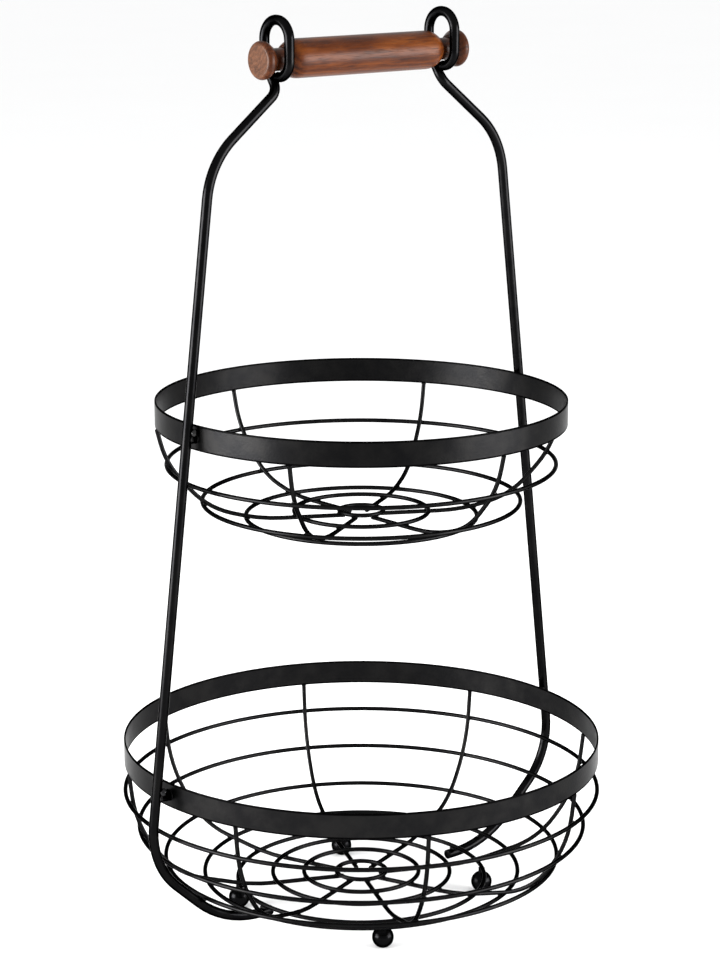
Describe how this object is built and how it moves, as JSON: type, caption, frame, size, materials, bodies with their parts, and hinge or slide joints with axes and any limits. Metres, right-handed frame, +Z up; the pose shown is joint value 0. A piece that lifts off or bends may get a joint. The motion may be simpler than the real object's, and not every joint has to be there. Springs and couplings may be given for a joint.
{
  "type": "tiered wire basket",
  "caption": "Free-standing tiered basket: round wire bowls with flat rim bands, one above the other, welded between bent rods that hold a turned wooden carrying handle.",
  "frame": {"origin": "on the floor, under the centre of the bowls", "axes": "+Z up, +X along the handle from one rod to the other, +Y square to the plane of the rods"},
  "size_m": [0.2966, 0.2724, 0.5081],
  "materials": {
    "thin_wire": "satin black coating",
    "rod_wire": "satin black coating",
    "rim_band": "satin black coating with a soft sheen",
    "turned_wood": "reddish brown stain under a satin varnish",
    "dowel_wood": "stained, waxed"
  },
  "bodies": {
    "frame": {"lower_side_ring_1": "thin_wire", "lower_side_ring_2": "thin_wire", "lower_side_ring_3": "thin_wire", "lower_corner_ring": "thin_wire", "lower_base_ring": "thin_wire", "lower_floor_ring_1": "thin_wire", "lower_floor_ring_2": "thin_wire", "lower_floor_ring_3": "thin_wire", "upper_side_ring_1": "thin_wire", "upper_side_ring_2": "thin_wire", "upper_base_ring": "thin_wire", "upper_floor_ring_1": "thin_wire", "upper_floor_ring_2": "thin_wire", "lower_rib_1": "thin_wire", "lower_rib_2": "thin_wire", "lower_rib_3": "thin_wire", "lower_rib_4": "thin_wire", "lower_rib_5": "thin_wire", "lower_rib_6": "thin_wire", "lower_rib_7": "thin_wire", "lower_rib_8": "thin_wire", "upper_rib_1": "thin_wire", "upper_rib_2": "thin_wire", "upper_rib_3": "thin_wire", "upper_rib_4": "thin_wire", "upper_rib_5": "thin_wire", "upper_rib_6": "thin_wire", "left_rod": "rod_wire", "right_rod": "rod_wire", "left_upper_spacer": "rod_wire", "right_upper_spacer": "rod_wire", "left_lower_spacer": "rod_wire", "right_lower_spacer": "rod_wire", "foot_1": "rod_wire", "foot_2": "rod_wire", "foot_3": "rod_wire", "foot_4": "rod_wire", "upper_band": "rim_band", "lower_band": "rim_band"},
    "handle_core": {"handle_dowel": "dowel_wood", "handle_knob_left": "turned_wood", "handle_knob_right": "turned_wood"},
    "grip": {"handle_barrel": "turned_wood"}
  },
  "joints": [
    {"name": "handle_lift", "type": "slide", "parent": "frame", "child": "handle_core", "axis": [0, 0, 1], "range_m": [0, 0.0115]},
    {"name": "grip_spin", "type": "hinge", "parent": "handle_core", "child": "grip", "pos_m": [0, 0, 0.4847], "axis": [1, 0, 0], "continuous": true}
  ]
}
